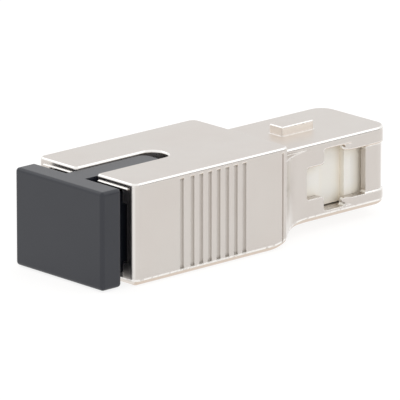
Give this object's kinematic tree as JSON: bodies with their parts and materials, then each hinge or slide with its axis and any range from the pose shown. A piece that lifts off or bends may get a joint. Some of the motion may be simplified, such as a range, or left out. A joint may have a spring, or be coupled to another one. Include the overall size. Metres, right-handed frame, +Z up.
{
  "type": "fibre optic attenuator",
  "caption": "Plug-style fibre optic attenuator: square metal body with finger grooves, a push-pull port under a dust cap at one end and a keyed plug with its ferrule at the other.",
  "frame": {"origin": "on the optical axis, at the port's face", "axes": "+X along the optical axis from the port to the plug, +Z up towards the keyway and the key"},
  "size_m": [0.0381, 0.0128, 0.0094],
  "materials": {
    "nickel_plating": "bright nickel plating on a zinc die casting",
    "cap_plastic": "charcoal moulded plastic with a fine texture",
    "white_plastic": "white moulded plastic, semi-matt",
    "zirconia": "ground zirconia",
    "flange_steel": "turned stainless steel",
    "fibre_glass": "polished glass"
  },
  "bodies": {
    "housing": {"housing": "nickel_plating"},
    "cap": {"dust_cap": "cap_plastic"},
    "core": {"plug_frame": "white_plastic", "hook_latch": "white_plastic", "alignment_sleeve": "zirconia", "ferrule": "zirconia", "ferrule_flange": "flange_steel", "attenuating_fibre": "fibre_glass"}
  },
  "joints": [
    {"name": "cap_pull", "type": "slide", "parent": "housing", "child": "cap", "axis": [-1, 0, 0], "range_m": [0, 0.02]},
    {"name": "release_slide", "type": "slide", "parent": "housing", "child": "core", "axis": [1, 0, 0], "range_m": [0, 0.0015]}
  ]
}
